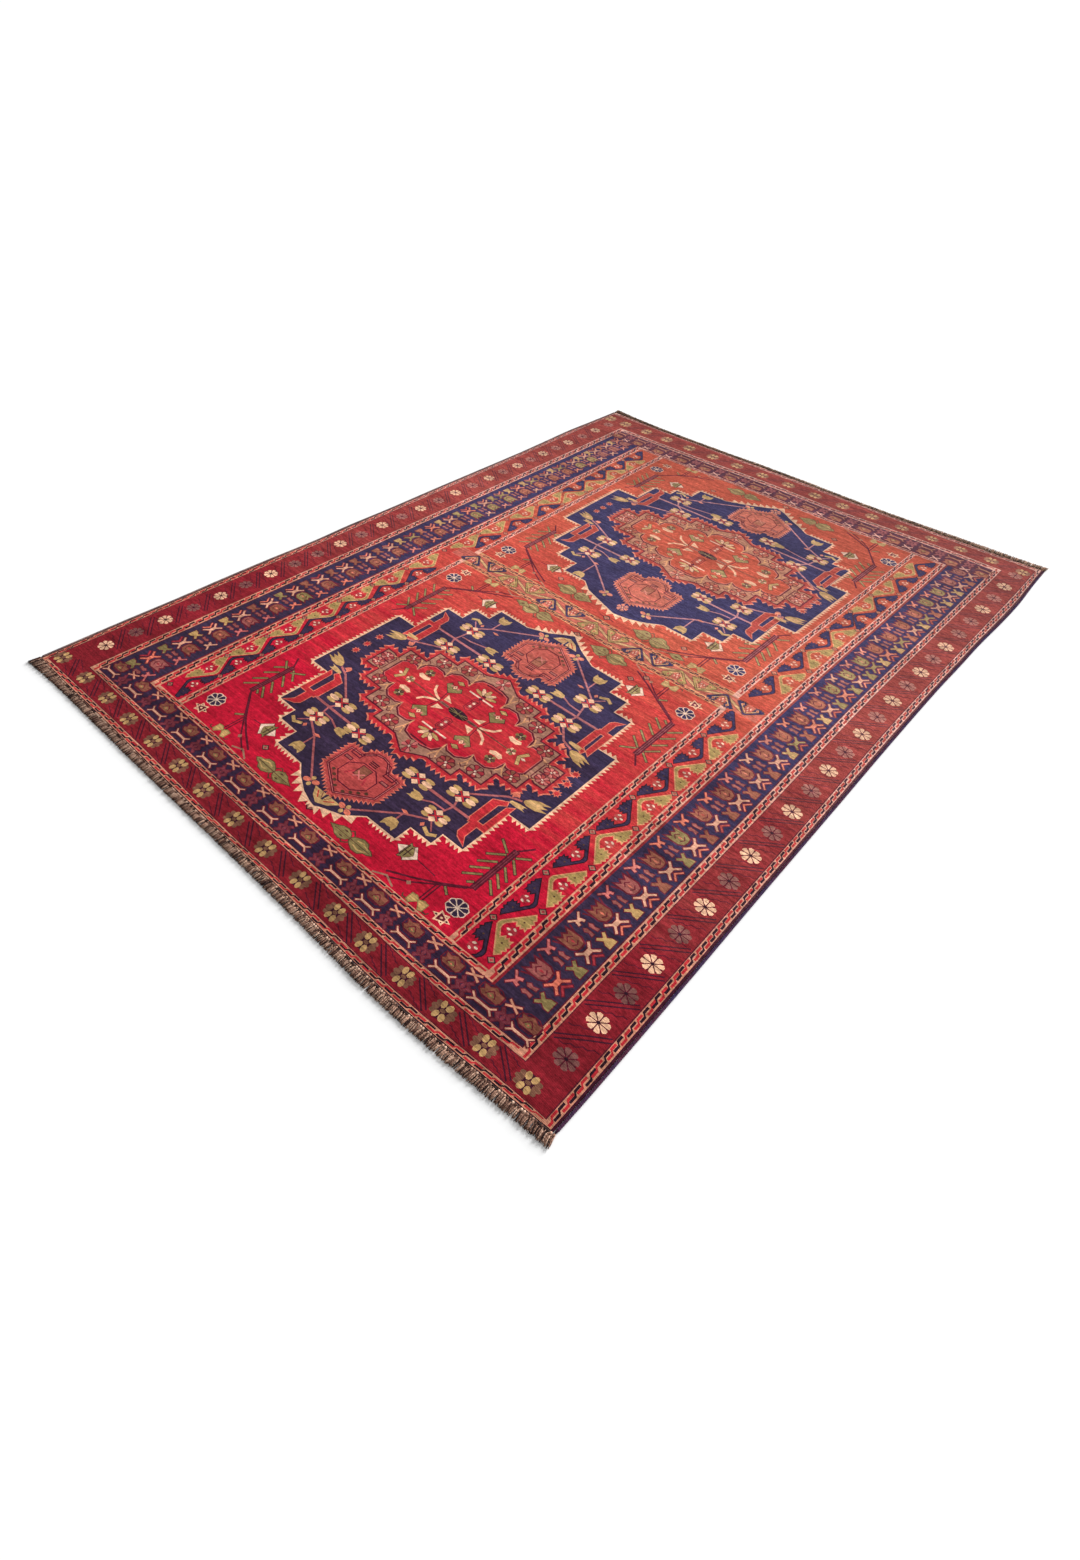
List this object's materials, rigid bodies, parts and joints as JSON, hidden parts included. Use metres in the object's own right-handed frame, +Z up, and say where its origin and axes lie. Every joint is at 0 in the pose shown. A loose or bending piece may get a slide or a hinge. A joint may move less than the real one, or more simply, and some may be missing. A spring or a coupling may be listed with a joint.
{
  "type": "kilim",
  "caption": "Flat-woven wool floor rug with stepped medallions, patterned borders, overcast long edges and a short knotted fringe at each end.",
  "frame": {"origin": "on the floor, under the middle of the rug's footprint, fringes included", "axes": "+X along the rug from its near short end to its far short end, +Y across it from the right long edge to the left long edge, +Z up"},
  "size_m": [2.9024, 2.0694, 0.006],
  "materials": {
    "woven_wool": "matt wool flat-weave",
    "navy_cord": "overcast navy wool",
    "brown_cord": "overcast grey-brown wool",
    "brown_warp": "knotted and twisted mixed brown wool",
    "dark_warp": "knotted and twisted dark brown wool"
  },
  "bodies": {
    "root": {"cloth": "woven_wool", "selvedge_right": "navy_cord", "selvedge_left": "brown_cord", "fringe_near": "brown_warp", "fringe_far": "dark_warp"}
  },
  "joints": []
}
